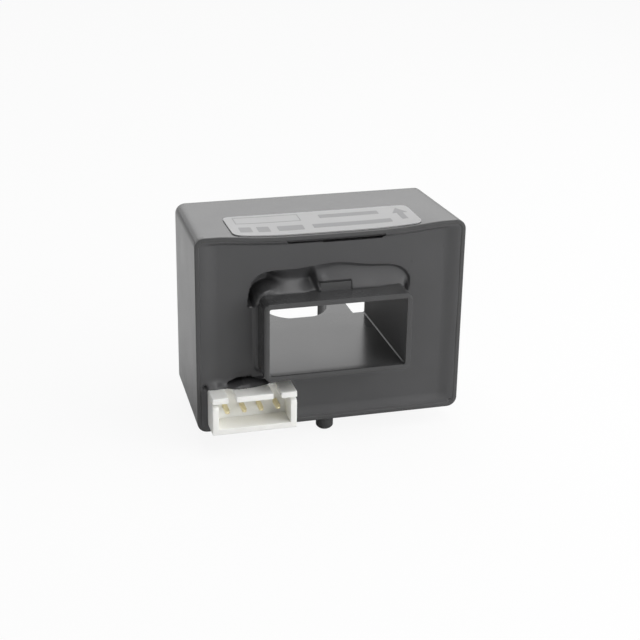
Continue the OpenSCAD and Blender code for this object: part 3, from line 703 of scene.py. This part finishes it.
def make_marks():
    """Plain marks on the label: an arrow, an empty box and bars."""
    arrow = bmesh.new()
    arrow.faces.new([arrow.verts.new((x, d, 0)) for x, d in ARROW])
    box = bmesh.new()
    panel(box, *BOX)
    border = bmesh.ops.inset_region(box, faces=list(box.faces), thickness=BOX_LINE, use_even_offset=True,
                                    use_boundary=True)["faces"]
    bmesh.ops.delete(box, geom=[f for f in box.faces if f not in border], context="FACES")
    marks = {"arrow": arrow, "box": box}
    for number, sides in enumerate(BARS, 1):
        bar = bmesh.new()
        panel(bar, *sides, BAR_R)
        marks["bar_%d" % number] = bar
    for name, mark in marks.items():
        lay(mark, LABEL_T, INK_T)
        finished(mark, "label_" + name, label_ink, "label")


# Making of the pieces

make_case_shell()
make_peg()
make_key()
make_foot()
make_resin()
make_from_solid("header_housing", "header_shroud", header_nylon, "header_housing", HEADER_SOFT)
for number in range(1, PINS + 1):
    pin = "header_pin_%d" % number
    make_from_solid(pin, pin + "_plated", pin_gold, "header_pin", PIN_SOFT, degrees=20)
make_label()
make_marks()

# Pieces inside the resin keep the meshes of their solids
INNER = {"core": core_steel, "hall_element": chip_epoxy, "hall_leads": lead_tin,
         "circuit_board": board_mask, "amplifier": chip_epoxy, "amplifier_leads": lead_tin,
         "gain_trimmer": trimmer_nylon, "offset_trimmer": trimmer_nylon,
         "capacitors": capacitor_ceramic, "resistors": chip_epoxy}
for name, material in INNER.items():
    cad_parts[name].material_slots[0].material = material


# Stage: floor, light and camera

scene = bpy.context.scene
scene.view_settings.view_transform = "Standard"

FLOOR_HALF, FLOOR_GLOW = 4.0, 0.9       # half its width in metres; share of plain white to the camera
AMBIENT = 0.18                          # strength of the white surroundings as a light
LIT = (0, 0, 15)                        # what the softboxes aim at, in millimetres
# Softboxes: name, place and size in millimetres, power in watts, and whether they show in reflections
SOFTBOXES = (
    ("back_softbox", (40, 420, 330), 420, 0.48, True),
    ("top_softbox", (0, 60, 420), 300, 0.45, True),
    ("high_softbox", (110, -170, 380), 250, 0.36, True),
    ("right_softbox", (240, -200, 100), 200, 0.7, False),
    ("side_softbox", (320, 0, 200), 200, 0.45, False))
# The photograph's camera, found from the case's edges: place in millimetres, turn (yaw, pitch, roll) in
# degrees, focal length and picture width in pixels, and the width of the sensor in millimetres
CAMERA_AT, CAMERA_TURN = (-53.681, -189.188, 96.142), (15.574, 22.484, -0.948)
FOCAL_PX, PICTURE_PX, SENSOR_MM = 1446.27, 640, 36.0


def seen_directly(tree):
    """1 for rays from the camera, a glossy surface or clear material, which see plain white."""
    path = add(tree, "LightPath", {})
    camera, glossy = path.outputs["Is Camera Ray"], path.outputs["Is Glossy Ray"]
    some = add(tree, "Math", {0: camera, 1: glossy}, operation="ADD").outputs[0]
    clear = path.outputs["Is Transmission Ray"]
    return add(tree, "Math", {0: some, 1: clear}, operation="ADD", use_clamp=True).outputs[0]


def make_floor():
    """White paper under the peg: diffuse to the light, and nearly plain white to the camera."""
    bm = bmesh.new()
    under = Matrix.Translation((0, 0, -PEG_L * MM))
    bmesh.ops.create_grid(bm, x_segments=1, y_segments=1, size=FLOOR_HALF, matrix=under)
    mesh = bpy.data.meshes.new("floor")
    bm.to_mesh(mesh)
    bm.free()
    material, tree, _ = new_material("white_paper_sweep")
    paper = add(tree, "BsdfDiffuse", {"Color": linear("#F2F2F2")})
    glow = add(tree, "Emission", {"Color": linear("#FFFFFF"), "Strength": 1.0})
    seen = add(tree, "LightPath", {}).outputs["Is Camera Ray"]
    share = add(tree, "Math", {0: seen, 1: FLOOR_GLOW}, operation="MULTIPLY")
    close(tree, add(tree, "MixShader", {0: share.outputs[0], 1: paper.outputs[0], 2: glow.outputs[0]}))
    mesh.materials.append(material)
    floor = bpy.data.objects.new("floor", mesh)
    scene.collection.objects.link(floor)


def make_world():
    """White surroundings, dimmer as a light than they look."""
    world = bpy.data.worlds.new("studio")
    scene.world = world
    world.use_nodes = True
    tree = world.node_tree
    tree.nodes.clear()
    strength = add(tree, "MapRange", {"Value": seen_directly(tree), "To Min": AMBIENT, "To Max": 1.0})
    sky = add(tree, "Background", {"Color": linear("#FFFFFF"), "Strength": strength.outputs["Result"]})
    add(tree, "OutputWorld", {"Surface": sky.outputs[0]})


def make_softbox(name, place, size, power, mirrored):
    """A square soft light; one that isn't mirrored leaves no glare on flat faces."""
    light = bpy.data.lights.new(name, "AREA")
    light.shape, light.size, light.energy = "SQUARE", size * MM, power
    lamp = bpy.data.objects.new(name, light)
    lamp.location = Vector(place) * MM
    lamp.rotation_euler = (Vector(LIT) - Vector(place)).to_track_quat("-Z", "Y").to_euler()
    lamp.visible_glossy = mirrored
    scene.collection.objects.link(lamp)


def make_camera():
    """Sets up the photograph's camera; the roll turns the level direction and the one below it."""
    yaw, pitch, roll = (math.radians(a) for a in CAMERA_TURN)
    forward = Vector((math.sin(yaw) * math.cos(pitch), math.cos(yaw) * math.cos(pitch), -math.sin(pitch)))
    level = Vector((math.cos(yaw), -math.sin(yaw), 0))
    down = forward.cross(level)
    right = level * math.cos(roll) + down * math.sin(roll)
    down = down * math.cos(roll) - level * math.sin(roll)
    data = bpy.data.cameras.new("camera")
    data.sensor_width, data.lens = SENSOR_MM, SENSOR_MM * FOCAL_PX / PICTURE_PX
    data.clip_start, data.clip_end = 0.01, 20.0
    camera = bpy.data.objects.new("camera", data)
    turn = Matrix((right, -down, -forward)).transposed().to_4x4()
    camera.matrix_world = Matrix.Translation(Vector(CAMERA_AT) * MM) @ turn
    scene.collection.objects.link(camera)
    scene.camera = camera


make_floor()
make_world()
for softbox in SOFTBOXES:
    make_softbox(*softbox)
make_camera()
